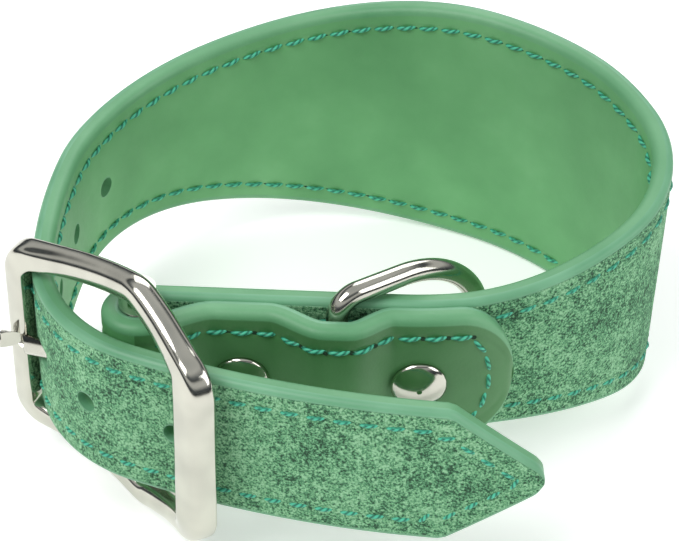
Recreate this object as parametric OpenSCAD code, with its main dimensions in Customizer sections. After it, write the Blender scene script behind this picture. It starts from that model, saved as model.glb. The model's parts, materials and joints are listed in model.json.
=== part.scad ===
// Wide leather hound collar with a centre-bar buckle, a threaded D-ring and two cap rivets.
// Millimetres, +Z up. The collar stands on its lower edge, +X is to the wearer's side of the
// free end, +Y runs from the buckle to the wide back.

/* [Strap] */
// Width of the narrow ends of the strap
strap_w = 30.4; // [24:0.2:38]
// Full width at the back of the neck
back_w = 56; // [40:0.2:66]
// Thickness of the suede outer leather
suede_t = 1.4; // [1:0.1:1.8]
// Thickness of the smooth lining leather
lining_t = 2.4; // [1.6:0.1:2.8]
// Edge rounding of each leather
edge_r = 1.1; // [0.5:0.1:1.3]
// Inward lean of the wide back, degrees
back_lean = 1; // [0:1:9]

/* [Free end] */
// Length of the pointed tip
tip_len = 16.4; // [12:0.2:20]
// Radius of the nose of the tip
tip_r = 5; // [3:0.5:7]
// Diameter of the adjustment holes
hole_d = 4; // [3:0.1:4.6]
// Distance of each free hole from the tip; the prong makes the one in use between them
hole_at = [63.5, 80.5, 112, 128.5, 144.5];

/* [Turned-back end] */
// Distance from the centre bar to the first rivet
rivet_a_at = 18; // [16:0.5:20]
// Distance from the centre bar to the D-ring bar
ring_at = 34.5; // [32:0.5:37]
// Distance from the centre bar to the second rivet
rivet_b_at = 49; // [48:0.5:52]
// Distance from the centre bar to the rounded end
tab_len = 65; // [61:1:72]

/* [Rivets] */
// Diameter of the domed caps
cap_d = 10; // [8:0.5:11]
// Height of the dome
cap_h = 1.7; // [1:0.1:2.4]
// Diameter of the post
post_d = 3.6; // [2.4:0.1:4.4]

/* [D-ring] */
// Diameter of the ring wire
wire_d = 4; // [3:0.1:4.4]
// Clearance between the strap's edge and the ring, on each side
ring_c = 0.5; // [0.4:0.1:2]
// Length of the straight arms between the corners and the bow
arm_len = 9; // [7:0.5:14]
// Swing of the ring about its bar at rest, degrees from the strap
ring_rest = 33; // [32:1:40]

/* [Buckle] */
// Diameter of the centre bar
bar_d = 5; // [4:0.1:5.4]
// Turn of the frame seen from above, degrees
frame_turn = -43.5; // [-46:0.5:-42]
// Centre bar to the middle of the strap inside the left end bar, along the frame
lean_l = 16.57; // [15.57:0.1:17.57]
// Centre bar to the right end bar, along the frame
reach_r = 23.5; // [22.5:0.1:25]
// How far the end bars stand out from the centre bar
rise = 8.2; // [7.8:0.1:9]
// How far the rails' middle line stands past the strap's edge at the left end bar
side_l = 2.7; // [2.4:0.1:3.8]
// The same at the frame's widest place
side_m = 8.8; // [7.3:0.1:10.8]
// The same at the right end bar
side_r = 2.2; // [1.8:0.1:3.8]
// Width of the frame's bars seen from the front
rim_w = 5; // [4:0.1:5.4]
// Depth of the frame's bars
rim_t = 4.8; // [4:0.1:5]
// Inward bow of the side rails
sag = 4.4; // [3:0.1:5.4]

/* [Prong] */
// Diameter of the prong
prong_d = 3.4; // [2.8:0.1:3.6]
// How far the prong's tip stands past the middle of the left end bar
prong_past = 2.65; // [1.65:0.1:5]
// Depth of the notch that the prong rests in
notch = 0.6; // [0.3:0.1:1]

/* [Fits] */
// Running clearance on the centre bar, on the radius
run_c = 0.05; // [0.03:0.01:0.1]
// Clearance around the prong in the leather
prong_c = 0.4; // [0.3:0.05:0.6]
// Clearance between the prong and its notch
notch_c = 0.1; // [0.05:0.05:0.3]

/* [Hidden] */

strap_t = suede_t + lining_t;
// radius of the leather's middle line round the centre bar
fold_r = bar_d / 2 + strap_t / 2 + run_c;
// gap between leathers that lie together
lay = 0.02;
// the collar's own axes put the bar here; the last shift brings the box centre to the origin
bar_x = -34.6;
bar_y = -21.1 - fold_r;
// the strap's middle line runs at this height over its lower edge
mid_z = back_w / 2 * cos(back_lean) + strap_t / 2 * sin(back_lean);
shift = [-0.22, -3.82, mid_z - 0.02];

// arcs of the strap seen from above, from the centre bar round the neck to the tip:
// length and turn in degrees
ARCS = [[45.5, 0], [44, 42.5], [30.5, 73], [51.5, 51], [46.5, 40.5],
        [42.5, 54], [28.5, 13.5], [31.5, 65], [72, 23]];
neck_l = sum(ARCS, 0);
// where the strap starts and stops being wide, from the centre bar
w_on = 55;
w_full = 138;
w_off = 160;
w_end = 251;

function sum(a, k, i = 0) = i < len(a) ? a[i][k] + sum(a, k, i + 1) : 0;
function sm(x) = let (t = max(0, min(1, x))) t * t * (3 - 2 * t);
// pose [x, y, heading, length so far] after one arc
function step(p, l, t) = abs(t) < 0.01
    ? [p[0] + l * cos(p[2]), p[1] + l * sin(p[2]), p[2], p[3] + l]
    : let (r = l * 180 / (PI * t))
      [p[0] + r * (sin(p[2] + t) - sin(p[2])), p[1] - r * (cos(p[2] + t) - cos(p[2])),
       p[2] + t, p[3] + l];
function start(i) = i == 0 ? [bar_x, bar_y + fold_r, 0, 0]
    : step(start(i - 1), ARCS[i - 1][0], ARCS[i - 1][1]);
STARTS = [for (i = [0:len(ARCS) - 1]) start(i)];
function arc_no(s, i = 0) = i == len(ARCS) - 1 || s < STARTS[i + 1][3] ? i : arc_no(s, i + 1);
// pose of the strap's middle line at a length s from the centre bar
function at(s) = let (i = arc_no(s), l = s - STARTS[i][3])
    step(STARTS[i], l, ARCS[i][1] * l / ARCS[i][0]);
// place beside a pose, a distance to its right
function off(p, d) = [p[0] + d * sin(p[2]), p[1] - d * cos(p[2])];

// 0 on the narrow ends, 1 at the wide back
function wide(s) = s < (w_full + w_off) / 2 ? sm((s - w_on) / (w_full - w_on))
    : sm((w_end - s) / (w_end - w_off));
// slope of the tip's rounded nose where its straight sides start
nose_a = 36;
function nose(u) = u < tip_r * (1 - sin(nose_a))
    ? sqrt(max(0.2, tip_r * tip_r - (tip_r - u) * (tip_r - u)))
    : tip_r * cos(nose_a) + (strap_w / 2 - tip_r * cos(nose_a))
      * (u - tip_r * (1 - sin(nose_a))) / (tip_len - tip_r * (1 - sin(nose_a)));
function half_w(s) = min(nose(neck_l - s), (strap_w + (back_w - strap_w) * wide(s)) / 2);
function tab_half(q) = let (u = tab_len - q, e = 10)
    strap_w / 2 * (u >= e ? 1 : sqrt(max(0.02, 1 - (1 - u / e) * (1 - u / e))));

// distance between the middle lines of the strap and its turned-back end
// it stands off further round the ring's bar, and lies flat under the caps
pocket = wire_d + 0.3;
flat = cap_d / 2 - 0.5;
function gap(q) = strap_t + lay
    + (2 * fold_r - strap_t - lay) * sm((rivet_a_at - flat - q) / (rivet_a_at - flat))
    + pocket * sm((q - rivet_a_at - flat) / (ring_at - rivet_a_at - flat - wire_d / 2))
      * sm((rivet_b_at - flat - q) / (rivet_b_at - flat - ring_at - wire_d / 2));
function tab_xy(q) = off(at(q), gap(q));
function tab_pose(q) = let (a = tab_xy(max(q - 0.2, 0)), b = tab_xy(q + 0.2), p = tab_xy(q))
    [p[0], p[1], q <= 0 ? 0 : atan2(b[1] - a[1], b[0] - a[0])];

// stations [x, y, travel heading, half width, lean] from the tip to the end of the tab;
// the suede lies to the left of the travel
TIP = [0.3, 0.9, 1.7, 2.6, 4, 6, 8.5, 11, 13.5, tip_len - 0.5, tip_len + 1.5];
NECK = [for (u = [20:3.6:neck_l - 51]) u];
MAIN = [for (u = [neck_l - 49:3.2:neck_l - 3]) u];
function st_neck(u) = let (s = neck_l - u, p = at(s))
    [p[0], p[1], p[2] + 180, half_w(s), back_lean * wide(s)];
function st_fold(a) = [bar_x - fold_r * sin(a), bar_y + fold_r * cos(a), 180 + a, strap_w / 2, 0];
function st_tab(q) = let (p = tab_pose(q)) [p[0], p[1], p[2] + 360, tab_half(q), 0];
TAB = concat([0.6, 1.3], [for (q = [2.2:1.9:tab_len - 10.5]) q]);
END = [9.6, 8, 6, 4.2, 2.8, 1.7, 0.9, 0.3];
STATIONS = concat([for (u = TIP) st_neck(u)], [for (u = NECK) st_neck(u)],
                  [for (u = MAIN) st_neck(u)],
                  [for (a = [0:15:180]) st_fold(a)],
                  [for (q = TAB) st_tab(q)], [for (u = END) st_tab(tab_len - u)]);

// section of one leather: n runs to the suede side, v runs up; rounded on its own face
function section(n0, n1, h, dir) = let (r = min(edge_r, h * 0.45), f = dir > 0 ? n1 : n0,
                                        b = dir > 0 ? n0 : n1)
    concat([[b, dir * h]],
           [for (a = [0:30:90]) [f - dir * r * (1 - sin(a)), dir * (h - r * (1 - cos(a)))]],
           [for (a = [90:-30:0]) [f - dir * r * (1 - sin(a)), dir * (r * (1 - cos(a)) - h)]],
           [[b, -dir * h]]);
function ring_of(s, n0, n1, dir) = let (l = [-sin(s[2]), cos(s[2])])
    [for (p = section(n0, n1, s[3], dir))
        let (n = p[0] * cos(s[4]) - p[1] * sin(s[4]), v = p[1] * cos(s[4]) + p[0] * sin(s[4]))
        [s[0] + n * l[0], s[1] + n * l[1], v]];

// skins the rings; other turns the diagonals, so that two skins on one warped face agree
module sweep(rings, closed = false, other = false) {
    m = len(rings[0]);
    n = len(rings);
    pts = [for (r = rings) for (p = r) p];
    sides = [for (i = [0:n - (closed ? 1 : 2)]) for (j = [0:m - 1])
        let (a = i * m + j, b = i * m + (j + 1) % m, c = ((i + 1) % n) * m + j,
             d = ((i + 1) % n) * m + (j + 1) % m)
        each other ? [[a, b, d], [a, d, c]] : [[a, b, c], [b, d, c]]];
    caps = closed ? [] : [[for (j = [m - 1:-1:0]) j], [for (j = [0:m - 1]) (n - 1) * m + j]];
    polyhedron(points = pts, faces = concat(sides, caps), convexity = 10);
}

// one cutter along the normal of the strap at a pose, from one height over its middle to another
module across(p, d, from = -12, to = 12) {
    translate([p[0], p[1], 0]) rotate([90, 0, p[2]]) translate([0, 0, from])
        cylinder(d = d, h = to - from, $fn = 96);
}

// the left end bar leans on the strap, and the prong goes through the leather and lies over it
reach_l = lean_l + (rim_t + strap_t) / 2 / cos(frame_turn);
LEFT = [-reach_l * cos(frame_turn) + rise * sin(frame_turn),
        -reach_l * sin(frame_turn) - rise * cos(frame_turn)];
prong_dir = atan2(LEFT[1], LEFT[0])
    + asin((rim_t / 2 + prong_d / 2 - notch + notch_c) / norm(LEFT));
prong_len = norm(LEFT) + prong_past;
prong_swing = 5;

module prong_way(r, swing) {
    way = [for (t = [[8, -1], [26, -1], [26, 1], [8, 1]])
        let (a = prong_dir + (t[1] > 0 ? swing : 0))
        [t[0] * cos(a) - t[1] * r * sin(a), t[0] * sin(a) + t[1] * r * cos(a)]];
    translate([bar_x, bar_y, -r]) linear_extrude(2 * r) polygon(way);
}

seat_h = 2;
eye_h = 4.6;
slot_h = eye_h + 1.6;
slot_end = 6.3;
slot_r = fold_r + strap_t / 2 + 0.3;
// everything that is cut through both leathers
module cuts() {
    for (h = hole_at) across(at(neck_l - h), hole_d);
    prong_way(prong_d / 2 + prong_c, prong_swing);
    // each rivet's post goes through, and its two heads press their seats into the leather
    for (q = [rivet_a_at, rivet_b_at]) {
        across(at(q), post_d + 2 * lay);
        across(at(q), cap_d + 2 * lay, -strap_t / 2 - seat_h, -strap_t / 2);
        across(at(q), cap_d + 2 * lay, strap_t * 1.5 + lay, strap_t * 1.5 + seat_h);
    }
    // slot for the prong's eye, round the fold and a little way along both its sides
    translate([bar_x, bar_y, -slot_h / 2]) {
        cylinder(r = slot_r, h = slot_h, $fn = 96);
        translate([0, -slot_r, 0]) cube([slot_end, 2 * slot_r, slot_h]);
    }
}

module suede_outer() {
    color([0.31, 0.6, 0.44]) translate(shift) difference() {
        sweep([for (s = STATIONS) ring_of(s, strap_t / 2 - suede_t, strap_t / 2, 1)]);
        cuts();
    }
}

module smooth_lining() {
    color([0.4, 0.66, 0.43]) translate(shift) difference() {
        sweep([for (s = STATIONS) ring_of(s, -strap_t / 2, strap_t / 2 - suede_t, -1)], other = true);
        cuts();
    }
}

// frame of the buckle in its own axes: u along the frame, n outward, v up, centre bar at zero
half_l = strap_w / 2 + side_l;
half_m = strap_w / 2 + side_m;
half_r = strap_w / 2 + side_r;
wide_u = reach_r - 18.3;
OUTLINE = [[-reach_l, half_l, 4], [wide_u, half_m, 6], [reach_r, half_r, 5],
           [reach_r, -half_r, 5], [wide_u, -half_m, 6], [-reach_l, -half_l, 4]];
function unit(v) = v / norm(v);
function bend(i) = let (n = len(OUTLINE), c = OUTLINE[i], a = OUTLINE[(i + n - 1) % n],
                        b = OUTLINE[(i + 1) % n], p = [c[0], c[1]],
                        ua = unit([a[0], a[1]] - p), ub = unit([b[0], b[1]] - p),
                        g = acos(ua * ub), l = c[2] / tan(g / 2), m = unit(ua + ub),
                        o = p + m * c[2] / sin(g / 2),
                        a0 = atan2((p + ua * l - o)[1], (p + ua * l - o)[0]), k = 6)
    [for (j = [0:k]) let (t = a0 - (180 - g) * j / k) o + c[2] * [cos(t), sin(t)]];
CORNERS = [for (i = [0:len(OUTLINE) - 1]) bend(i)];
function between(a, b, k) = [for (j = [1:k - 1]) a + (b - a) * j / k];
LOOP = [for (i = [0:len(OUTLINE) - 1])
    each concat(CORNERS[i], between(CORNERS[i][6], CORNERS[(i + 1) % len(OUTLINE)][0], 5))];
mid_u = (reach_r - reach_l) / 2;
half_u = (reach_r + reach_l) / 2;
function rail_n(u) = rise - sag * (1 - ((u - mid_u) / half_u) * ((u - mid_u) / half_u));
function rim_ring(i) = let (n = len(LOOP), p = LOOP[i], a = LOOP[(i + n - 1) % n],
                            b = LOOP[(i + 1) % n], t = unit(b - a), s = [t[1], -t[0]],
                            slope = atan(2 * sag * (p[0] - mid_u) / (half_u * half_u)),
                            w = rim_w * (1 + 0.2 * sm((p[0] - reach_r + 6) / 6)))
    [for (k = [0:11]) let (g = k * 30 + 15, c = cos(g), d = sin(g),
                           x = w / 2 * sign(c) * pow(abs(c), 0.6),
                           y = rim_t / 2 * sign(d) * pow(abs(d), 0.6))
        [p[0] - x * s[0] - y * sin(slope), rail_n(p[0]) + y * cos(slope), p[1] - x * s[1]]];

// brings buckle axes to the collar's
module at_buckle() {
    translate(shift) translate([bar_x, bar_y, 0]) rotate([0, 0, frame_turn])
        mirror([0, 1, 0]) children();
}
rail_v = half_l + (half_m - half_l) * reach_l / (wide_u + reach_l);
// each lug leaves the end of the centre bar and leans out to its side rail
lug_v = strap_w / 2 + 0.3;
lug_h = 2.6;
// metal that closes the lug over the bar's end
lug_top = 1.2;
lug_d = 3.4;
lug_l = norm([rail_n(0), rail_v - lug_v - lug_h / 2]);
lug_a = atan2(rail_n(0), rail_v - lug_v - lug_h / 2);

module buckle_frame() {
    color("silver") at_buckle() difference() {
        union() {
            sweep([for (i = [0:len(LOOP) - 1]) rim_ring(i)], closed = true);
            // lugs that carry the centre bar
            for (m = [0, 1]) mirror([0, 0, m]) {
                translate([0, 0, lug_v])
                    cylinder(d = bar_d + 1.6, h = lug_h + lug_top, $fn = 64);
                translate([0, 0, lug_v + lug_h / 2]) rotate([-lug_a, 0, 0])
                    cylinder(d = lug_d, h = lug_l, $fn = 48);
            }
        }
        cylinder(d = bar_d, h = 2 * (lug_v + lug_h), center = true, $fn = 64);
        // notch that the prong rests in
        rotate([0, 0, frame_turn]) mirror([0, 1, 0]) rotate([0, 90, prong_dir])
            translate([0, 0, bar_d]) cylinder(d = prong_d + 2 * notch_c, h = 30, $fn = 48);
    }
}

module buckle_center_bar() {
    color("gainsboro") at_buckle()
        cylinder(d = bar_d, h = 2 * (lug_v + lug_h), center = true, $fn = 64);
}

module buckle_prong() {
    color("lightgray") translate(shift) translate([bar_x, bar_y, 0]) rotate([0, 0, prong_dir])
        difference() {
            union() {
                cylinder(d = bar_d + 2.6, h = eye_h, center = true, $fn = 64);
                rotate([0, 90, 0]) cylinder(d = prong_d, h = prong_len, $fn = 48);
            }
            cylinder(d = bar_d + 2 * run_c, h = 3 * eye_h, center = true, $fn = 64);
            // bevel under the tip
            translate([prong_len, prong_d * 0.2, 0]) rotate([0, 0, 32])
                translate([-4, 0, -5]) cube([9, 6, 10]);
        }
}

// ring wire: centre line half width
ring_h = strap_w / 2 + ring_c + wire_d / 2;
corner_r = 4;
module d_ring() {
    p = off(at(ring_at), (strap_t + pocket + lay) / 2);
    color("whitesmoke") translate(shift) translate([p[0], p[1], 0])
        rotate([90, 0, ring_rest]) {
            translate([0, -ring_h + corner_r, 0]) rotate([-90, 0, 0])
                cylinder(d = wire_d, h = 2 * ring_h - 2 * corner_r, $fn = 48);
            for (m = [0, 1]) mirror([0, m, 0]) {
                translate([corner_r, ring_h - corner_r, 0]) rotate([0, 0, 90])
                    rotate_extrude(angle = 90, $fn = 96) translate([corner_r, 0])
                        circle(d = wire_d, $fn = 48);
                translate([corner_r, ring_h, 0]) rotate([0, 90, 0])
                    cylinder(d = wire_d, h = arm_len, $fn = 48);
            }
            translate([corner_r + arm_len, 0, 0]) rotate([0, 0, -90])
                rotate_extrude(angle = 180, $fn = 128) translate([ring_h, 0])
                    circle(d = wire_d, $fn = 48);
        }
}

// a domed cap whose flat face is at height zero
module dome(d, h) {
    r = (d * d / 4 + h * h) / (2 * h);
    rotate_extrude($fn = 96) intersection() {
        translate([0, h - r]) circle(r = r, $fn = 180);
        square([d / 2, h]);
    }
}
// straight edge of a cap or head under its dome
brim = 0.5;
module at_rivet(q) {
    p = at(q);
    translate(shift) translate([p[0], p[1], 0]) rotate([90, 0, p[2]]) children();
}
module cap(q) {
    color("silver") at_rivet(q) translate([0, 0, strap_t * 1.5 + 2 * lay]) {
        cylinder(d = cap_d, h = brim, $fn = 96);
        translate([0, 0, brim]) dome(cap_d, cap_h);
    }
}
module post(q) {
    color("darkgray") at_rivet(q) {
        translate([0, 0, -strap_t / 2 - lay])
            cylinder(d = post_d, h = 2 * strap_t + 3 * lay, $fn = 48);
        // the post's own flatter head, on the other side of the strap
        translate([0, 0, -strap_t / 2 - lay - brim]) {
            cylinder(d = cap_d, h = brim, $fn = 96);
            mirror([0, 0, 1]) dome(cap_d, cap_h * 0.5);
        }
    }
}
module rivet_a_cap() { cap(rivet_a_at); }
module rivet_a_post() { post(rivet_a_at); }
module rivet_b_cap() { cap(rivet_b_at); }
module rivet_b_post() { post(rivet_b_at); }

suede_outer();
smooth_lining();
buckle_frame();
buckle_center_bar();
buckle_prong();
d_ring();
rivet_a_cap();
rivet_a_post();
rivet_b_cap();
rivet_b_post();
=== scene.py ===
import json
import math

import bmesh
import bpy
import numpy as np
from mathutils import Matrix, Vector


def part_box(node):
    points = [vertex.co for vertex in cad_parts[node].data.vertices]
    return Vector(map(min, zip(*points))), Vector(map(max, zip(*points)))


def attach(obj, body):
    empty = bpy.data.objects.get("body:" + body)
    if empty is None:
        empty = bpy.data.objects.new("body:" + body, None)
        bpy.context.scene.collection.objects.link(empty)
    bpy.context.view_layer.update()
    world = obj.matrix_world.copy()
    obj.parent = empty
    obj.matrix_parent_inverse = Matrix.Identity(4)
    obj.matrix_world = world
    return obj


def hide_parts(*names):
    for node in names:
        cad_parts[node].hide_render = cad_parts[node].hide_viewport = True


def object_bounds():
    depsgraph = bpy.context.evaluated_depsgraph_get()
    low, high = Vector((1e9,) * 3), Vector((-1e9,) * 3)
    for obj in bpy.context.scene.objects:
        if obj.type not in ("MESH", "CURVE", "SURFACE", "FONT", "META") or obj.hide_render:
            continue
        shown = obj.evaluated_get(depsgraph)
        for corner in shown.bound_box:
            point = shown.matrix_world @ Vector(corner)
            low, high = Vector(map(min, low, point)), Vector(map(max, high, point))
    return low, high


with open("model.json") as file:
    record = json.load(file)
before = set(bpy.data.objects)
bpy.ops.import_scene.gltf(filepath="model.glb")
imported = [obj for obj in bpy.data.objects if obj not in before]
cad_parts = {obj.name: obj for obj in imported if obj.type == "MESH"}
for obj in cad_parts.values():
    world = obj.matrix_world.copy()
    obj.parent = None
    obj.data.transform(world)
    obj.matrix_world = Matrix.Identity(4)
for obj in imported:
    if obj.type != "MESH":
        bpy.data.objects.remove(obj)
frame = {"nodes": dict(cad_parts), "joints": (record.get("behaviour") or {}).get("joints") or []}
cad_box = [list(v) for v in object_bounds()]

# ---------------------------------------------------------------------------
# Viewpoint: a long lens that looks down at the buckle side of the collar, from a bit
# under half a metre away. The small roll and shift belong to the framing.
# ---------------------------------------------------------------------------
joints = {j["name"]: j for j in frame["joints"]}
bar_axis = Vector(joints["buckle_turn"]["pos_m"])

view_target = Vector((-0.00022, -0.00382, bar_axis.z - 0.0036))
view_distance = 0.400
view_pitch = math.radians(40.75)
view_roll = math.radians(2.14)
camera_data = bpy.data.cameras.new("camera")
camera_data.sensor_width = 36
camera_data.lens = 113.2
camera_data.shift_x = 0.0016
camera_data.shift_y = 0.0406
camera_data.clip_start = 0.01
camera = bpy.data.objects.new("camera", camera_data)
bpy.context.scene.collection.objects.link(camera)
look_down = Matrix.Rotation(math.pi / 2 - view_pitch, 4, "X")
step_back = Vector((0, -math.cos(view_pitch), math.sin(view_pitch))) * view_distance
camera.matrix_world = (Matrix.Translation(view_target + step_back) @ look_down
                       @ Matrix.Rotation(view_roll, 4, "Z"))
bpy.context.scene.camera = camera


# ---------------------------------------------------------------------------
# Studio: a matt white table under large soft lamps, and a pale room with a darker
# waist that the polished metal mirrors as its dark streaks.
# ---------------------------------------------------------------------------
def linear(code):
    """Linear RGBA of an sRGB hex colour."""
    parts = [int(code[i:i + 2], 16) / 255 for i in (1, 3, 5)]
    return [c / 12.92 if c <= 0.04045 else ((c + 0.055) / 1.055) ** 2.4 for c in parts] + [1.0]


def add(tree, kind, inputs=None, **settings):
    """One node with its settings; inputs maps a socket to a value or to another node's output."""
    node = tree.nodes.new(kind)
    for key, value in settings.items():
        setattr(node, key, value)
    for key, value in (inputs or {}).items():
        if isinstance(value, bpy.types.NodeSocket):
            tree.links.new(value, node.inputs[key])
        else:
            node.inputs[key].default_value = value
    return node


def ramp(tree, factor, stops):
    """A colour ramp through (place, hex colour) stops."""
    node = add(tree, "ShaderNodeValToRGB", {"Fac": factor})
    bands = node.color_ramp.elements
    while len(bands) < len(stops):
        bands.new(0.5)
    for band, (place, code) in zip(bands, stops):
        band.position = place
        band.color = linear(code)
    return node.outputs["Color"]


def material(name):
    """An empty material: returns it, its node tree and its surface shader."""
    made = bpy.data.materials.new(name)
    made.use_nodes = True
    return made, made.node_tree, made.node_tree.nodes["Principled BSDF"]


table_paper, tree, shader = material("matt_white_paper")
paper_noise = add(tree, "ShaderNodeTexNoise", {
    "Vector": add(tree, "ShaderNodeTexCoord").outputs["Object"], "Scale": 40.0, "Detail": 3.0})
tree.links.new(ramp(tree, paper_noise.outputs["Fac"], [(0.3, "#FBFBFA"), (0.7, "#FDFDFC")]),
               shader.inputs["Base Color"])
shader.inputs["Roughness"].default_value = 0.9
shader.inputs["Emission Color"].default_value = linear("#FFFFFF")
shader.inputs["Emission Strength"].default_value = 0.3
table_mesh = bpy.data.meshes.new("table")
table_mesh.from_pydata([(-3, -3, 0), (3, -3, 0), (3, 3, 0), (-3, 3, 0)], [], [(0, 1, 2, 3)])
table_mesh.materials.append(table_paper)
table = bpy.data.objects.new("table", table_mesh)
table.location.z = cad_box[0][2] - 0.0002
bpy.context.scene.collection.objects.link(table)

for lamp_name, place, size, watts in (
        ("lamp_key", (-0.45, -0.35, 0.85), 0.55, 5.8),
        ("lamp_right", (0.75, -0.25, 0.55), 0.5, 2.5),
        ("lamp_back", (0.1, 0.8, 0.7), 0.6, 3.0)):
    lamp_data = bpy.data.lights.new(lamp_name, "AREA")
    lamp_data.size = size
    lamp_data.energy = watts
    lamp = bpy.data.objects.new(lamp_name, lamp_data)
    lamp.location = place
    lamp.rotation_euler = (Vector((0, 0, 0.03)) - Vector(place)).to_track_quat("-Z", "Y").to_euler()
    bpy.context.scene.collection.objects.link(lamp)

room = bpy.data.worlds.new("room")
room.use_nodes = True
tree = room.node_tree
height = add(tree, "ShaderNodeSeparateXYZ", {
    "Vector": add(tree, "ShaderNodeTexCoord").outputs["Generated"]}).outputs["Z"]
walls = ramp(tree, add(tree, "ShaderNodeMapRange", {
    "Value": height, "From Min": -1.0, "From Max": 1.0}).outputs["Result"],
    [(0.0, "#F4F2E8"), (0.45, "#EEEBDE"), (0.52, "#3C4147"), (0.61, "#666C72"), (0.69, "#F8F8F8"),
     (0.77, "#F4F4F4"), (0.825, "#444A50"), (0.88, "#868B90"), (0.94, "#FAFAFA"), (1.0, "#E8EAEC")])
tree.links.new(walls, tree.nodes["Background"].inputs["Color"])
tree.nodes["Background"].inputs["Strength"].default_value = 0.66
bpy.context.scene.world = room
bpy.context.scene.view_settings.view_transform = "Standard"

# ---------------------------------------------------------------------------
# Strap, route: one long lined strap. From its pointed tip it runs through the buckle and
# round the neck, folds back over the centre bar and ends in the riveted, rounded end.
# ---------------------------------------------------------------------------
MM = 0.001
suede_t = 1.4
lining_t = 2.4
strap_t = suede_t + lining_t
strap_w = 30.4
back_w = 56.0
back_lean = 1.0
bar_d = 5.0
run_gap = 0.05
fold_r = bar_d / 2 + strap_t / 2 + run_gap
tip_len = 16.4
tip_r = 5.0
nose_angle = math.radians(36)
# turned-back end, from the centre bar: first rivet, D-ring, second rivet, end, then how long
# its rounding is, how far it stands off round the ring, and how far it lies flat by a rivet
rivet_a_at, ring_at, rivet_b_at, tab_len = 18.0, 34.5, 49.0, 65.0
round_l = 10.0
pocket = 4.3
cap_flat = 4.5
wide_from, wide_full, wide_until, wide_end = 55.0, 138.0, 160.0, 251.0
# length and turn in degrees of each arc from the centre bar to the tip
arcs = [(45.5, 0.0), (44.0, 42.5), (30.5, 73.0), (51.5, 51.0), (46.5, 40.5),
        (42.5, 54.0), (28.5, 13.5), (31.5, 65.0), (72.0, 23.0)]
neck_l = sum(a[0] for a in arcs)
fold_l = math.pi * fold_r
bar_x, bar_y, mid_z = bar_axis.x / MM, bar_axis.y / MM, bar_axis.z / MM


def smooth(t):
    """Smooth step from 0 to 1."""
    t = min(max(t, 0.0), 1.0)
    return t * t * (3 - 2 * t)


def neck_pose(s):
    """Place and heading of the middle line, a length s from the centre bar."""
    x, y, h = bar_x, bar_y + fold_r, 0.0
    for length, turn in arcs:
        run = min(s, length) if (length, turn) != arcs[-1] else s
        bend = math.radians(turn) * run / length
        if abs(bend) < 1e-6:
            x += run * math.cos(h)
            y += run * math.sin(h)
        else:
            r = run / bend
            x += r * (math.sin(h + bend) - math.sin(h))
            y -= r * (math.cos(h + bend) - math.cos(h))
            h += bend
        s -= run
        if s <= 0:
            break
    return x, y, h


def widening(s):
    """0 on the narrow ends, 1 at the back of the neck."""
    if s < (wide_full + wide_until) / 2:
        return smooth((s - wide_from) / (wide_full - wide_from))
    return smooth((wide_end - s) / (wide_end - wide_until))


def tip_half(u):
    """Half width of the point, a length u from its end."""
    nose_l = tip_r * (1 - math.sin(nose_angle))
    if u < nose_l:
        return math.sqrt(max(0.02, tip_r ** 2 - (tip_r - u) ** 2))
    start = tip_r * math.cos(nose_angle)
    return start + (strap_w / 2 - start) * (u - nose_l) / (tip_len - nose_l)


def tab_gap(q):
    """Distance from the strap's middle line to the turned-back end's."""
    first = smooth((rivet_a_at - cap_flat - q) / (rivet_a_at - cap_flat))
    rise = smooth((q - rivet_a_at - cap_flat) / (ring_at - rivet_a_at - cap_flat - 2))
    fall = smooth((rivet_b_at - cap_flat - q) / (rivet_b_at - cap_flat - ring_at - 2))
    return strap_t + 0.02 + (2 * fold_r - strap_t - 0.02) * first + pocket * rise * fall


def tab_point(q):
    """Middle of the turned-back end, a length q from the centre bar."""
    x, y, h = neck_pose(max(q, 0.0))
    return x + tab_gap(q) * math.sin(h), y - tab_gap(q) * math.cos(h)


def pose(l):
    """x, y, heading, half width, lean and end round, a length l from the tip, in mm."""
    if l <= neck_l:
        s = neck_l - l
        x, y, h = neck_pose(s)
        half = min(tip_half(l), (strap_w + (back_w - strap_w) * widening(s)) / 2)
        return x, y, h + math.pi, half, math.radians(back_lean) * widening(s), l
    if l <= neck_l + fold_l:
        a = (l - neck_l) / fold_r
        return (bar_x - fold_r * math.sin(a), bar_y + fold_r * math.cos(a), math.pi + a,
                strap_w / 2, 0.0, 99.0)
    q = l - neck_l - fold_l
    (xa, ya), (xb, yb) = tab_point(max(q - 0.2, 0.0)), tab_point(q + 0.2)
    x, y = tab_point(q)
    u = tab_len - q
    half = strap_w / 2 * (1 if u >= round_l else
                          math.sqrt(max(0.004, 1 - (1 - u / round_l) ** 2)))
    return x, y, math.atan2(yb - ya, xb - xa) + 2 * math.pi, half, 0.0, u


def strap_point(at, n, v):
    """A point n to the suede side and v up from the middle line at a pose, in metres."""
    x, y, h, half, lean, end = at
    n, v = n * math.cos(lean) - v * math.sin(lean), v * math.cos(lean) + n * math.sin(lean)
    return ((x - n * math.sin(h)) * MM, (y + n * math.cos(h)) * MM, (mid_z + v) * MM)


# ---------------------------------------------------------------------------
# Strap, leathers: a napped suede face glued to a thicker smooth lining. Both edges are
# ground round, dyed and burnished, and the stitching pulls a shallow channel.
# ---------------------------------------------------------------------------
strap_l = neck_l + fold_l + tab_len
stitch_in = 4.5
channel_w = 0.8
channel_d = 0.16
# distances from the edge at which the face has points, crowded round the stitched channel
face_places = [1.6, 2.4, 3.2, 3.7, 4.1, 4.5, 4.9, 5.3, 5.8, 6.8, 8.5, 11.0]
corner_steps = 6
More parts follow.
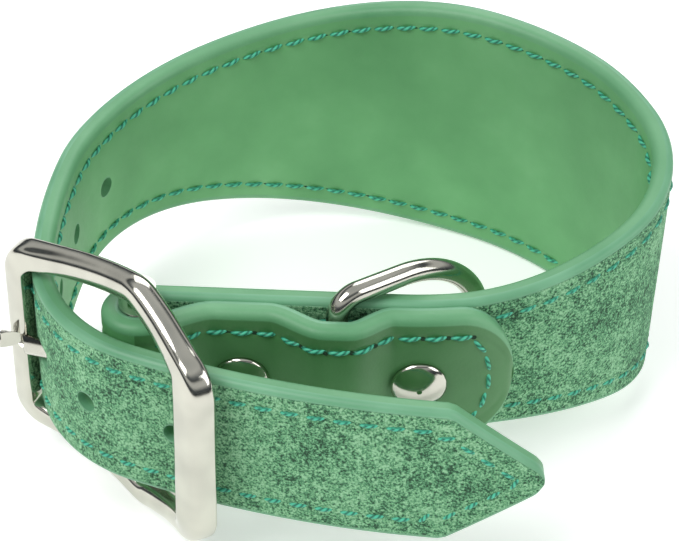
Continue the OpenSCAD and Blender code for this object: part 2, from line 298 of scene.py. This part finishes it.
# lengths of the sections from the tip, closest together on its nose and on the rounded end
station_list = list(np.concatenate([
    [0.04, 0.12, 0.25, 0.45, 0.7, 1.0, 1.4, 1.9, 2.5, 3.2, 4.0, 5.0, 6.2, 7.6, 9.2],
    np.arange(10.6, neck_l, 1.3),
    np.linspace(neck_l, neck_l + fold_l, 22),
    np.arange(neck_l + fold_l + 1.0, strap_l - round_l - 0.2, 1.1),
    strap_l - np.array([9.6, 8.4, 7.2, 6.0, 5.0, 4.0, 3.1, 2.4, 1.8, 1.3, 0.9, 0.6, 0.35, 0.18,
                        0.06])]))


def leather_section(half, end, inner, face, side):
    """(n, v, distance from the edge) round one leather, from its glued side's top edge."""
    r = min(abs(face - inner) * 0.8, 1.5, half * 0.5)
    drop = r - math.sqrt(max(0.0, r * r - (r - min(end, r)) ** 2))
    top = []
    for k in range(corner_steps + 1):
        a = math.pi / 2 * k / corner_steps
        n = face - side * r * (1 - math.sin(a))
        top.append((n - side * drop * (n - inner) / (face - inner), half - r * (1 - math.cos(a)),
                    0.0 if k < corner_steps else 1.0))
    for d in face_places:
        d = r + (d - 1.5) * min(1.0, (half - r) / 13.0) + 0.1 * min(1, half / 10)
        dip = channel_d * math.exp(-((d - stitch_in) / channel_w) ** 2) if half > 8 else 0
        top.append((face - side * (drop + dip), half - d, d))
    start = [(inner, half, 0.0)]
    whole = start + top
    return whole + [(face - side * drop, 0.0, half)] + [(n, -v, d) for n, v, d in reversed(whole)]


def leather(name, inner, face, side):
    """Sweeps one leather's section along the strap, with a UV map in metres."""
    rows = []
    for l in station_list:
        at = pose(l)
        section = leather_section(at[3], at[5], inner, face, side)
        rows.append([(strap_point(at, n, v), l * MM, v * MM, d) for n, v, d in section])
    count = len(rows[0])
    points = [p[0] for row in rows for p in row]
    faces = []
    for i in range(len(rows) - 1):
        for j in range(count):
            k = (j + 1) % count
            quad = (i * count + j, i * count + k, (i + 1) * count + k, (i + 1) * count + j)
            faces.append(quad if side > 0 else quad[::-1])
    first = list(range(count))
    last = [(len(rows) - 1) * count + j for j in range(count)]
    faces.append(first[::-1] if side > 0 else first)
    faces.append(last if side > 0 else last[::-1])
    mesh = bpy.data.meshes.new(name)
    mesh.from_pydata(points, [], faces)
    edge = mesh.attributes.new("edge_mm", "FLOAT", "POINT")
    edge.data.foreach_set("value", [p[3] for row in rows for p in row])
    flat = [(p[1], p[2]) for row in rows for p in row]
    layer = mesh.uv_layers.new(name="UVMap")
    for loop in mesh.loops:
        layer.data[loop.index].uv = flat[loop.vertex_index]
    piece = bpy.data.objects.new(name, mesh)
    bpy.context.scene.collection.objects.link(piece)
    build = bmesh.new()
    build.from_mesh(mesh)
    bmesh.ops.recalc_face_normals(build, faces=build.faces)
    build.to_mesh(mesh)
    build.free()
    return piece


def cutter_cylinder(build, place, direction, radius, length):
    """Adds a capped cylinder centred on a place."""
    turn = Vector(direction).to_track_quat("Z", "Y").to_matrix().to_4x4()
    bmesh.ops.create_cone(build, cap_ends=True, segments=40, radius1=radius, radius2=radius,
                          depth=length, matrix=Matrix.Translation(place) @ turn)


def upright_prism(build, outline, half_h):
    """Adds a prism on an outline in mm from the centre bar, as far down as up."""
    low, high = ([build.verts.new(Vector((bar_x + x, bar_y + y, mid_z + z)) * MM)
                  for x, y in outline] for z in (-half_h, half_h))
    build.faces.new(low[::-1])
    build.faces.new(high)
    for i in range(len(outline)):
        k = (i + 1) % len(outline)
        build.faces.new((low[i], low[k], high[k], high[i]))
    bmesh.ops.recalc_face_normals(build, faces=build.faces)


def boolean(piece, cutter, operation):
    """Applies one boolean and removes the cutter."""
    change = piece.modifiers.new("cut", "BOOLEAN")
    change.object = cutter
    change.operation = operation
    change.solver = "EXACT"
    graph = bpy.context.evaluated_depsgraph_get()
    result = bpy.data.meshes.new_from_object(piece.evaluated_get(graph))
    piece.modifiers.clear()
    piece.data = result
    bpy.data.objects.remove(cutter)


def mesh_object(name, build):
    """An object from a bmesh, which is then freed."""
    mesh = bpy.data.meshes.new(name)
    build.to_mesh(mesh)
    build.free()
    made = bpy.data.objects.new(name, mesh)
    bpy.context.scene.collection.objects.link(made)
    return made


hole_d = 4.0
hole_places = [63.5, 80.5, 112.0, 128.5, 144.5]
# the prong lies at the angle that its top and its length give
prong_d, prong_l = 3.4, 26.6
prong_room = prong_d / 2 + 0.4
prong_swing = math.radians(5)
prong_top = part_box("buckle_prong")[1].y - bar_axis.y - prong_d / 2 * MM
prong_angle = math.pi - math.asin(prong_top / (prong_l * MM))
slot_h = 6.2
slot_end = 6.3
slot_r = fold_r + strap_t / 2 + 0.3


def holes_cutter():
    """The adjustment holes."""
    build = bmesh.new()
    for place in hole_places:
        x, y, h, half, lean, end = pose(place)
        cutter_cylinder(build, Vector((x, y, mid_z)) * MM, (math.sin(h), -math.cos(h), 0),
                        hole_d / 2 * MM, 8 * MM)
    return mesh_object("holes_cutter", build)


def prong_cutter():
    """The prong's way through the tongue, with room for its swing."""
    build = bmesh.new()
    corners = []
    for reach, side in ((8, -1), (26, -1), (26, 1), (8, 1)):
        a = prong_angle + (prong_swing if side > 0 else 0)
        corners.append((reach * math.cos(a) - side * prong_room * math.sin(a),
                        reach * math.sin(a) + side * prong_room * math.cos(a)))
    upright_prism(build, corners, prong_room)
    return mesh_object("prong_cutter", build)


def slot_cutter():
    """The slot in the fold for the prong's eye: a half round with straight sides."""
    build = bmesh.new()
    outline = [(slot_end, -slot_r), (slot_end, slot_r)] + [
        (-slot_r * math.sin(a), slot_r * math.cos(a)) for a in np.linspace(0, math.pi, 33)]
    upright_prism(build, outline, slot_h / 2)
    return mesh_object("slot_cutter", build)


def soft_shade(piece, degrees):
    """Smooth shading that keeps edges sharper than an angle."""
    piece.data.polygons.foreach_set("use_smooth", [True] * len(piece.data.polygons))
    piece.data.set_sharp_from_angle(angle=math.radians(degrees))


suede_leather = leather("strap_suede", strap_t / 2 - suede_t, strap_t / 2, 1)
lining_leather = leather("strap_lining", strap_t / 2 - suede_t, -strap_t / 2, -1)
for piece in (suede_leather, lining_leather):
    for cutter in (holes_cutter(), prong_cutter(), slot_cutter()):
        boolean(piece, cutter, "DIFFERENCE")
    soft_shade(piece, 42)

# Suede: split hide, dyed green and brushed. The raised nap catches light in pale specks
# over darker roots; real fibres are finer, and are drawn 0.45 mm wide so that they show.
nap_suede, tree, shader = material("brushed_split_suede")
coords = add(tree, "ShaderNodeTexCoord").outputs["Object"]
fibre = add(tree, "ShaderNodeTexNoise", {
    "Vector": coords, "Scale": 1 / 0.00045, "Detail": 4.0, "Roughness": 0.68})
tuft = add(tree, "ShaderNodeTexNoise", {"Vector": coords, "Scale": 1 / 0.0016, "Detail": 3.0})
brushed = add(tree, "ShaderNodeTexNoise", {"Vector": coords, "Scale": 1 / 0.011, "Detail": 2.0})
pile = add(tree, "ShaderNodeMath", {
    0: tuft.outputs["Fac"], 1: 0.34, 2: fibre.outputs["Fac"]}, operation="MULTIPLY_ADD").outputs[0]
pile = add(tree, "ShaderNodeMath", {
    0: brushed.outputs["Fac"], 1: 0.22, 2: pile}, operation="MULTIPLY_ADD").outputs[0]
nap_colour = ramp(tree, pile, [(0.63, "#183B26"), (0.70, "#326646"), (0.765, "#5A9C6E"),
                               (0.83, "#7DB988"), (0.90, "#9ED0A5")])
edge_mm = add(tree, "ShaderNodeAttribute", attribute_name="edge_mm").outputs["Fac"]
ragged = add(tree, "ShaderNodeMath", {
    0: tuft.outputs["Fac"], 1: 0.5, 2: edge_mm}, operation="MULTIPLY_ADD").outputs[0]
on_face = add(tree, "ShaderNodeMapRange", {
    "Value": ragged, "From Min": 1.0, "From Max": 1.5}).outputs["Result"]
edge_colour = ramp(tree, brushed.outputs["Fac"], [(0.3, "#5F9C74"), (0.7, "#74AE88")])
colour = add(tree, "ShaderNodeMix", {"Factor": on_face, 6: edge_colour, 7: nap_colour},
             data_type="RGBA").outputs[2]
tree.links.new(colour, shader.inputs["Base Color"])
tree.links.new(add(tree, "ShaderNodeMapRange", {
    "Value": on_face, "To Min": 0.42, "To Max": 0.95}).outputs["Result"],
    shader.inputs["Roughness"])
relief = add(tree, "ShaderNodeMath", {0: pile, 1: on_face}, operation="MULTIPLY").outputs[0]
tree.links.new(add(tree, "ShaderNodeBump", {
    "Height": relief, "Strength": 0.85, "Distance": 0.0005}).outputs["Normal"],
    shader.inputs["Normal"])
shader.inputs["Sheen Weight"].default_value = 0.25
shader.inputs["Sheen Roughness"].default_value = 0.5
shader.inputs["Sheen Tint"].default_value = linear("#A8DDB8")
suede_leather.data.materials.clear()
suede_leather.data.materials.append(nap_suede)

# Lining: smooth vegetable-tanned hide with a satin finish, fine pores about 0.6 mm apart
# and soft clouds where the dye took differently. Its edge is burnished paler, and the
# turned-back end is painted darker, as painted shade.
satin_hide, tree, shader = material("satin_dyed_hide")
coords = add(tree, "ShaderNodeTexCoord").outputs["Object"]
clouds = add(tree, "ShaderNodeTexNoise", {"Vector": coords, "Scale": 1 / 0.018, "Detail": 4.0})
pores = add(tree, "ShaderNodeTexVoronoi", {"Vector": coords, "Scale": 1 / 0.0006})
grain = add(tree, "ShaderNodeTexNoise", {
    "Vector": coords, "Scale": 1 / 0.0012, "Detail": 5.0, "Roughness": 0.6})
face_colour = ramp(tree, clouds.outputs["Fac"], [(0.3, "#5C9D64"), (0.55, "#69AB70"),
                                                 (0.75, "#76B67C")])
# Painted shade: from the fold to its end, the turned-back end of the lining gets darker colours.
shaded_end_mask = add(tree, "ShaderNodeMath", {
    0: add(tree, "ShaderNodeSeparateXYZ", {
        "Vector": add(tree, "ShaderNodeUVMap", uv_map="UVMap").outputs["UV"]}).outputs["X"],
    1: (neck_l + fold_l) * MM}, operation="GREATER_THAN").outputs[0]
shaded_end_colour = ramp(tree, clouds.outputs["Fac"], [(0.3, "#467B48"), (0.7, "#558B57")])
face_colour = add(tree, "ShaderNodeMix", {"Factor": shaded_end_mask, 6: face_colour, 7: shaded_end_colour},
                  data_type="RGBA").outputs[2]
edge_colour = ramp(tree, clouds.outputs["Fac"], [(0.3, "#5E9C6E"), (0.7, "#73AD80")])
edge_mm = add(tree, "ShaderNodeAttribute", attribute_name="edge_mm").outputs["Fac"]
on_face = add(tree, "ShaderNodeMapRange", {
    "Value": edge_mm, "From Min": 1.0, "From Max": 1.9}).outputs["Result"]
colour = add(tree, "ShaderNodeMix", {"Factor": on_face, 6: edge_colour, 7: face_colour},
             data_type="RGBA").outputs[2]
tree.links.new(colour, shader.inputs["Base Color"])
tree.links.new(add(tree, "ShaderNodeMapRange", {
    "Value": grain.outputs["Fac"], "To Min": 0.4, "To Max": 0.56}).outputs["Result"],
    shader.inputs["Roughness"])
height = add(tree, "ShaderNodeMath", {
    0: pores.outputs["Distance"], 1: 0.5, 2: grain.outputs["Fac"]},
    operation="MULTIPLY_ADD").outputs[0]
tree.links.new(add(tree, "ShaderNodeBump", {
    "Height": height, "Strength": 0.22, "Distance": 0.00012}).outputs["Normal"],
    shader.inputs["Normal"])
lining_leather.data.materials.clear()
lining_leather.data.materials.append(satin_hide)

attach(suede_leather, "strap")
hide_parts("suede_outer")
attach(lining_leather, "strap")
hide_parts("smooth_lining")

# ---------------------------------------------------------------------------
# Stitching: one run of two-ply waxed thread all round the strap, 4.5 mm in from the edge
# and 4.5 mm to the stitch. It sinks in the suede and stands up on the lining.
# ---------------------------------------------------------------------------
pitch = 4.5
thread_d = 0.8


def outline_inset():
    """The stitch line as (length from the tip, height) points, once round the strap."""
    top = [(4.9, 0.0)]
    slope = math.atan2(strap_w / 2 - tip_r * math.cos(nose_angle), tip_len - 2.1)
    for u in np.arange(5.4, 20.0, 0.7):
        v = min(tip_half(u) if u < tip_len else strap_w / 2,
                strap_w / 2) - stitch_in / math.cos(slope)
        top.append((u, min(max(v, 0.0), strap_w / 2 - stitch_in)))
    for l in np.arange(20.4, strap_l - round_l, 0.8):
        top.append((l, pose(l)[3] - stitch_in))
    centre = strap_l - round_l
    for k in range(1, 13):
        a = math.pi / 2 * k / 12
        top.append((centre + (round_l - stitch_in) * math.sin(a),
                    (strap_w / 2 - stitch_in) * math.cos(a)))
    return top + [(l, -v) for l, v in reversed(top[1:-1])] + [top[0]]


def stitch_points(name, n, side):
    """A mesh of one point a stitch, with its run and the leather's outward normal."""
    line = []
    for l, v in outline_inset():
        at = pose(l)
        here = Vector(strap_point(at, n, v))
        above = Vector(strap_point(at, n + side, v))
        line.append((here, (above - here).normalized(), l))
    spots, runs, normals = [], [], []
    due = pitch / 2 * MM
    for (a, na, la), (b, nb, lb) in zip(line, line[1:]):
        gap = (b - a).length
        while due <= gap and gap > 1e-9:
            l = la + (lb - la) * due / gap
            in_fold = side < 0 and neck_l - 4 < l < neck_l + fold_l + 4
            under_ring = side > 0 and abs(l - neck_l - fold_l - ring_at) < 4
            if not (in_fold or under_ring):
                spots.append(a.lerp(b, due / gap))
                runs.append((b - a).normalized())
                normals.append(na.lerp(nb, due / gap).normalized())
            due += pitch * MM
        due -= gap
    mesh = bpy.data.meshes.new(name)
    mesh.from_pydata(spots, [], [])
    for label, values in (("run", runs), ("outward", normals)):
        layer = mesh.attributes.new(label, "FLOAT_VECTOR", "POINT")
        layer.data.foreach_set("vector", [c for v in values for c in v])
    row = bpy.data.objects.new(name, mesh)
    bpy.context.scene.collection.objects.link(row)
    return row


thread, tree, shader = material("waxed_two_ply_thread")
around = add(tree, "ShaderNodeAttribute", attribute_name="ply").outputs["Vector"]
split = add(tree, "ShaderNodeSeparateXYZ", {"Vector": around})
lay_angle = add(tree, "ShaderNodeMath", {0: split.outputs["X"], 1: 22.0, 2: add(
    tree, "ShaderNodeMath", {0: split.outputs["Y"], 1: 12.566}, operation="MULTIPLY").outputs[0]},
    operation="MULTIPLY_ADD").outputs[0]
twist = add(tree, "ShaderNodeMath", {0: lay_angle}, operation="SINE").outputs[0]
twist = add(tree, "ShaderNodeMapRange", {"Value": twist, "From Min": -1.0}).outputs["Result"]
# The ply lay colours the grooves between the plies darker: painted shade on a thread of one dye.
tree.links.new(ramp(tree, twist, [(0.0, "#1E6B55"), (0.35, "#2F9C7C"), (0.8, "#52C2A0")]),
               shader.inputs["Base Color"])
tree.links.new(add(tree, "ShaderNodeBump", {
    "Height": twist, "Strength": 0.6, "Distance": 0.00015}).outputs["Normal"],
    shader.inputs["Normal"])
shader.inputs["Roughness"].default_value = 0.5

# Needle holes: a dark disc painted as the shade inside each hole, in place of a real hole.
painted_hole_shade, tree, shader = material("painted_needle_hole_shade")
tree.links.new(ramp(tree, add(tree, "ShaderNodeTexNoise", {
    "Vector": add(tree, "ShaderNodeTexCoord").outputs["Object"], "Scale": 2000.0}).outputs["Fac"],
    [(0.3, "#16301F"), (0.7, "#22452D")]), shader.inputs["Base Color"])
shader.inputs["Roughness"].default_value = 0.9

# One stitch: a twisted arch of thread with the needle's prick beside it, a disc of painted shade,
# set at each point
stitch_tree = bpy.data.node_groups.new("stitch_row", "GeometryNodeTree")
panel = stitch_tree.interface
panel.new_socket("Stitches", in_out="INPUT", socket_type="NodeSocketGeometry")
size_inputs = [panel.new_socket(name, in_out="INPUT", socket_type="NodeSocketFloat") for name in (
    "Stitch length", "Stitch rise", "Thread diameter", "Stitch pitch", "Hole diameter")]
panel.new_socket("Thread", in_out="OUTPUT", socket_type="NodeSocketGeometry")
given = add(stitch_tree, "NodeGroupInput").outputs


def scaled(name, factor):
    """A named input's value times a number."""
    return add(stitch_tree, "ShaderNodeMath", {0: given[name], 1: factor},
               operation="MULTIPLY").outputs[0]


def point_at(x, z, y=0.0):
    """A vector from sockets or numbers."""
    return add(stitch_tree, "ShaderNodeCombineXYZ", {"X": x, "Y": y, "Z": z}).outputs["Vector"]


def stored(name, kind="FLOAT"):
    """A named attribute's value."""
    return add(stitch_tree, "GeometryNodeInputNamedAttribute", {"Name": name},
               data_type=kind).outputs["Attribute"]


sunk = scaled("Thread diameter", -0.75)
crest = add(stitch_tree, "ShaderNodeMath", {
    0: scaled("Stitch rise", 2.0), 1: scaled("Thread diameter", 0.75)},
    operation="ADD").outputs[0]
arch = add(stitch_tree, "GeometryNodeCurveQuadraticBezier", {
    "Resolution": 8,
    "Start": point_at(scaled("Stitch length", -0.5), sunk, scaled("Thread diameter", -0.2)),
    "Middle": point_at(0.0, crest),
    "End": point_at(scaled("Stitch length", 0.5), sunk, scaled("Thread diameter", 0.2))})
along = add(stitch_tree, "GeometryNodeSplineParameter").outputs["Factor"]
arch = add(stitch_tree, "GeometryNodeStoreNamedAttribute", {
    "Geometry": arch.outputs["Curve"], "Name": "ply_along", "Value": along},
    data_type="FLOAT", domain="POINT")
circle = add(stitch_tree, "GeometryNodeCurvePrimitiveCircle", {
    "Resolution": 8, "Radius": scaled("Thread diameter", 0.5)})
circle = add(stitch_tree, "GeometryNodeStoreNamedAttribute", {
    "Geometry": circle.outputs["Curve"], "Name": "ply_round", "Value": along},
    data_type="FLOAT", domain="POINT")
tube = add(stitch_tree, "GeometryNodeCurveToMesh", {
    "Curve": arch.outputs["Geometry"], "Profile Curve": circle.outputs["Geometry"],
    "Fill Caps": True})
ply = point_at(stored("ply_along"), 0.0, stored("ply_round"))
tube = add(stitch_tree, "GeometryNodeStoreNamedAttribute", {
    "Geometry": tube.outputs["Mesh"], "Name": "ply", "Value": ply},
    data_type="FLOAT_VECTOR", domain="POINT")
tube = add(stitch_tree, "GeometryNodeSetShadeSmooth", {"Geometry": tube.outputs["Geometry"]})
tube = add(stitch_tree, "GeometryNodeSetMaterial", {
    "Geometry": tube.outputs["Geometry"], "Material": thread})
prick = add(stitch_tree, "GeometryNodeMeshCircle", {
    "Vertices": 10, "Radius": scaled("Hole diameter", 0.5)}, fill_type="NGON")
prick = add(stitch_tree, "GeometryNodeTransform", {
    "Geometry": prick.outputs["Mesh"],
    "Translation": point_at(scaled("Stitch pitch", 0.5), 0.00004)})
prick = add(stitch_tree, "GeometryNodeSetMaterial", {
    "Geometry": prick.outputs["Geometry"], "Material": painted_hole_shade})
stitch = add(stitch_tree, "GeometryNodeJoinGeometry")
for part in (tube, prick):
    stitch_tree.links.new(part.outputs["Geometry"], stitch.inputs["Geometry"])
towards = add(stitch_tree, "FunctionNodeAlignRotationToVector", {
    "Vector": stored("run", "FLOAT_VECTOR")}, axis="X")
upright = add(stitch_tree, "FunctionNodeAlignRotationToVector", {
    "Rotation": towards.outputs["Rotation"], "Vector": stored("outward", "FLOAT_VECTOR")},
    axis="Z", pivot_axis="X")
placed = add(stitch_tree, "GeometryNodeInstanceOnPoints", {
    "Points": given["Stitches"], "Instance": stitch.outputs["Geometry"],
    "Rotation": upright.outputs["Rotation"]})
placed = add(stitch_tree, "GeometryNodeRealizeInstances", {"Geometry": placed.outputs["Instances"]})
sewn = add(stitch_tree, "NodeGroupOutput")
stitch_tree.links.new(placed.outputs["Geometry"], sewn.inputs["Thread"])

for name, n, side, stitch_l, rise, hole in (
        ("stitches_lining", -strap_t / 2 + channel_d, -1, 4.3, 0.38, 1.0),
        ("stitches_suede", strap_t / 2 - channel_d, 1, 3.5, 0.14, 0.1)):
    row = stitch_points(name, n, side)
    sewing = row.modifiers.new("sewing", "NODES")
    sewing.node_group = stitch_tree
    for socket, size in zip(size_inputs, (stitch_l, rise, thread_d, pitch, hole)):
        sewing[socket.identifier] = size * MM
    graph = bpy.context.evaluated_depsgraph_get()
    sewn_mesh = bpy.data.meshes.new_from_object(row.evaluated_get(graph))
    row.modifiers.clear()
    row.data = sewn_mesh
    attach(row, "strap")

# ---------------------------------------------------------------------------
# Buckle frame: one cast loop with rounded rails, a notch for the prong and two lugs that
# carry the centre bar. It is bowed to the neck, polished and nickel plated.
# ---------------------------------------------------------------------------
frame_turn = math.radians(-43.5)
# from the centre bar to each end bar along the frame, and how far both stand out from it
reach_l, reach_r, bar_rise = 22.5, 23.5, 8.2
# half heights at the left end bar, at the widest place and at the right end bar
half_l, half_m, half_r = 17.9, 24.0, 17.4
wide_u = reach_r - 18.3
rim_w, rim_t, rail_sag = 5.0, 4.8, 4.4
# the lugs: place on the bar, height round it, metal over its end, thickness, and eye
lug_v = strap_w / 2 + 0.3
lug_h, lug_top, lug_d = 2.6, 1.2, 3.4
eye_d = bar_d + 1.6
# corners of the loop's middle line: along, up, and radius
loop_corners = [(-reach_l, half_l, 4), (wide_u, half_m, 6), (reach_r, half_r, 5),
                (reach_r, -half_r, 5), (wide_u, -half_m, 6), (-reach_l, -half_l, 4)]
mid_u, half_u = (reach_r - reach_l) / 2, (reach_r + reach_l) / 2


def rail_out(u):
    """How far the loop stands out from the centre bar, at a place along the frame."""
    return bar_rise - rail_sag * (1 - ((u - mid_u) / half_u) ** 2)


def to_frame(u, n, v):
    """Buckle axes (along, outward, up) to the row frame, in metres."""
    x = bar_x + u * math.cos(frame_turn) + n * math.sin(frame_turn)
    y = bar_y + u * math.sin(frame_turn) - n * math.cos(frame_turn)
    return Vector((x, y, mid_z + v)) * MM


def loop_line():
    """The loop's centre line as (u, v): arcs at the corners, points along the straights."""
    bends = []
    count = len(loop_corners)
    for i in range(count):
        p = Vector(loop_corners[i][:2])
        to_a = (Vector(loop_corners[i - 1][:2]) - p).normalized()
        to_b = (Vector(loop_corners[(i + 1) % count][:2]) - p).normalized()
        r = loop_corners[i][2]
        opening = to_a.angle(to_b)
        centre = p + (to_a + to_b).normalized() * r / math.sin(opening / 2)
        a = p + to_a * r / math.tan(opening / 2) - centre
        b = p + to_b * r / math.tan(opening / 2) - centre
        sweep = a.angle(b)
        bends.append([centre + (a * math.sin(sweep * (1 - t)) + b * math.sin(sweep * t))
                      / math.sin(sweep) for t in np.linspace(0, 1, 17)])
    line = []
    for i, bend in enumerate(bends):
        line += bend
        after = bends[(i + 1) % count][0]
        line += [bend[-1].lerp(after, t) for t in np.linspace(0, 1, 18)[1:-1]]
    return line


build = bmesh.new()
line = loop_line()
rings = []
bevels = 28
for i, p in enumerate(line):
    t = (line[(i + 1) % len(line)] - line[i - 1]).normalized()
    slope = math.atan(2 * rail_sag * (p.x - mid_u) / half_u ** 2)
    w = rim_w * (1 + 0.2 * smooth((p.x - reach_r + 6) / 6))
    # the section is nearly round on the side rails and squarer on the two end bars
    square = 0.8 - 0.3 * smooth((abs(p.x - mid_u) - half_u + 9) / 8)
    ring = []
    for k in range(bevels):
        g = 2 * math.pi * (k + 0.5) / bevels
        c, d = math.cos(g), math.sin(g)
        x = w / 2 * math.copysign(abs(c) ** square, c)
        y = rim_t / 2 * math.copysign(abs(d) ** square, d)
        ring.append(build.verts.new(to_frame(
            p.x - x * t.y - y * math.sin(slope), rail_out(p.x) + y * math.cos(slope),
            p.y + x * t.x)))
    rings.append(ring)
for i, ring in enumerate(rings):
    after = rings[(i + 1) % len(rings)]
    for k in range(bevels):
        m = (k + 1) % bevels
        build.faces.new((ring[k], ring[m], after[m], after[k]))
bmesh.ops.recalc_face_normals(build, faces=build.faces)
buckle = mesh_object("buckle_loop", build)

rail_v = half_l + (half_m - half_l) * reach_l / (wide_u + reach_l)
for up in (1, -1):
    build = bmesh.new()
    cutter_cylinder(build, to_frame(0, 0, up * (lug_v + (lug_h + lug_top) / 2)), (0, 0, 1),
                    eye_d / 2 * MM, (lug_h + lug_top) * MM)
    boolean(buckle, mesh_object("lug_eye", build), "UNION")
    build = bmesh.new()
    foot, head = to_frame(0, 0, up * (lug_v + lug_h / 2)), to_frame(0, rail_out(0), up * rail_v)
    cutter_cylinder(build, (foot + head) / 2, head - foot, lug_d / 2 * MM, (head - foot).length)
    boolean(buckle, mesh_object("lug", build), "UNION")
build = bmesh.new()
cutter_cylinder(build, to_frame(0, 0, 0), (0, 0, 1), bar_d / 2 * MM, 2 * (lug_v + lug_h) * MM)
boolean(buckle, mesh_object("bar_bore", build), "DIFFERENCE")
build = bmesh.new()
along_prong = Vector((math.cos(prong_angle), math.sin(prong_angle), 0))
notch_r = prong_d / 2 + 0.1
cutter_cylinder(build, to_frame(0, 0, 0) + along_prong * 20 * MM, along_prong, notch_r * MM,
                30 * MM)
boolean(buckle, mesh_object("notch", build), "DIFFERENCE")
soft_shade(buckle, 35)

# Nickel plate: a polished white metal with a faintly warm cast. The mirror is broken only
# by soft casting ripples a few millimetres long and hairline polishing marks.
nickel, tree, shader = material("polished_nickel_plate")
coords = add(tree, "ShaderNodeTexCoord").outputs["Object"]
ripple = add(tree, "ShaderNodeTexNoise", {"Vector": coords, "Scale": 1 / 0.006, "Detail": 1.0})
hair = add(tree, "ShaderNodeTexNoise", {"Vector": coords, "Scale": 1 / 0.0008, "Detail": 3.0})
tree.links.new(ramp(tree, ripple.outputs["Fac"], [(0.3, "#BDBCB1"), (0.7, "#CBCABE")]),
               shader.inputs["Base Color"])
tree.links.new(add(tree, "ShaderNodeMapRange", {
    "Value": hair.outputs["Fac"], "To Min": 0.07, "To Max": 0.2}).outputs["Result"],
    shader.inputs["Roughness"])
tree.links.new(add(tree, "ShaderNodeBump", {
    "Height": ripple.outputs["Fac"], "Strength": 0.3, "Distance": 0.0002}).outputs["Normal"],
    shader.inputs["Normal"])
shader.inputs["Metallic"].default_value = 1.0
buckle.data.materials.clear()
buckle.data.materials.append(nickel)
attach(buckle, "frame")
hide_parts("buckle_frame")

# ---------------------------------------------------------------------------
# Bar, prong, D-ring and rivets: turned, bent and stamped pieces in the same plate. Each is
# the exact solid with its facets merged, so that the polish runs round it unbroken.
# ---------------------------------------------------------------------------
for node, body, slot in (
        ("buckle_center_bar", "frame", "bar_metal"), ("buckle_prong", "prong", "bar_metal"),
        ("d_ring", "ring", "ring_metal"), ("rivet_a_cap", "strap", "rivet_metal"),
        ("rivet_a_post", "strap", "rivet_metal"), ("rivet_b_cap", "strap", "rivet_metal"),
        ("rivet_b_post", "strap", "rivet_metal")):
    build = bmesh.new()
    build.from_mesh(frame["nodes"][node].data)
    bmesh.ops.remove_doubles(build, verts=build.verts, dist=1e-6)
    piece = mesh_object(node + "_polished", build)
    soft_shade(piece, 35)
    piece.data.materials.clear()
    piece.data.materials.append(nickel)
    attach(piece, body)
    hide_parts(node)
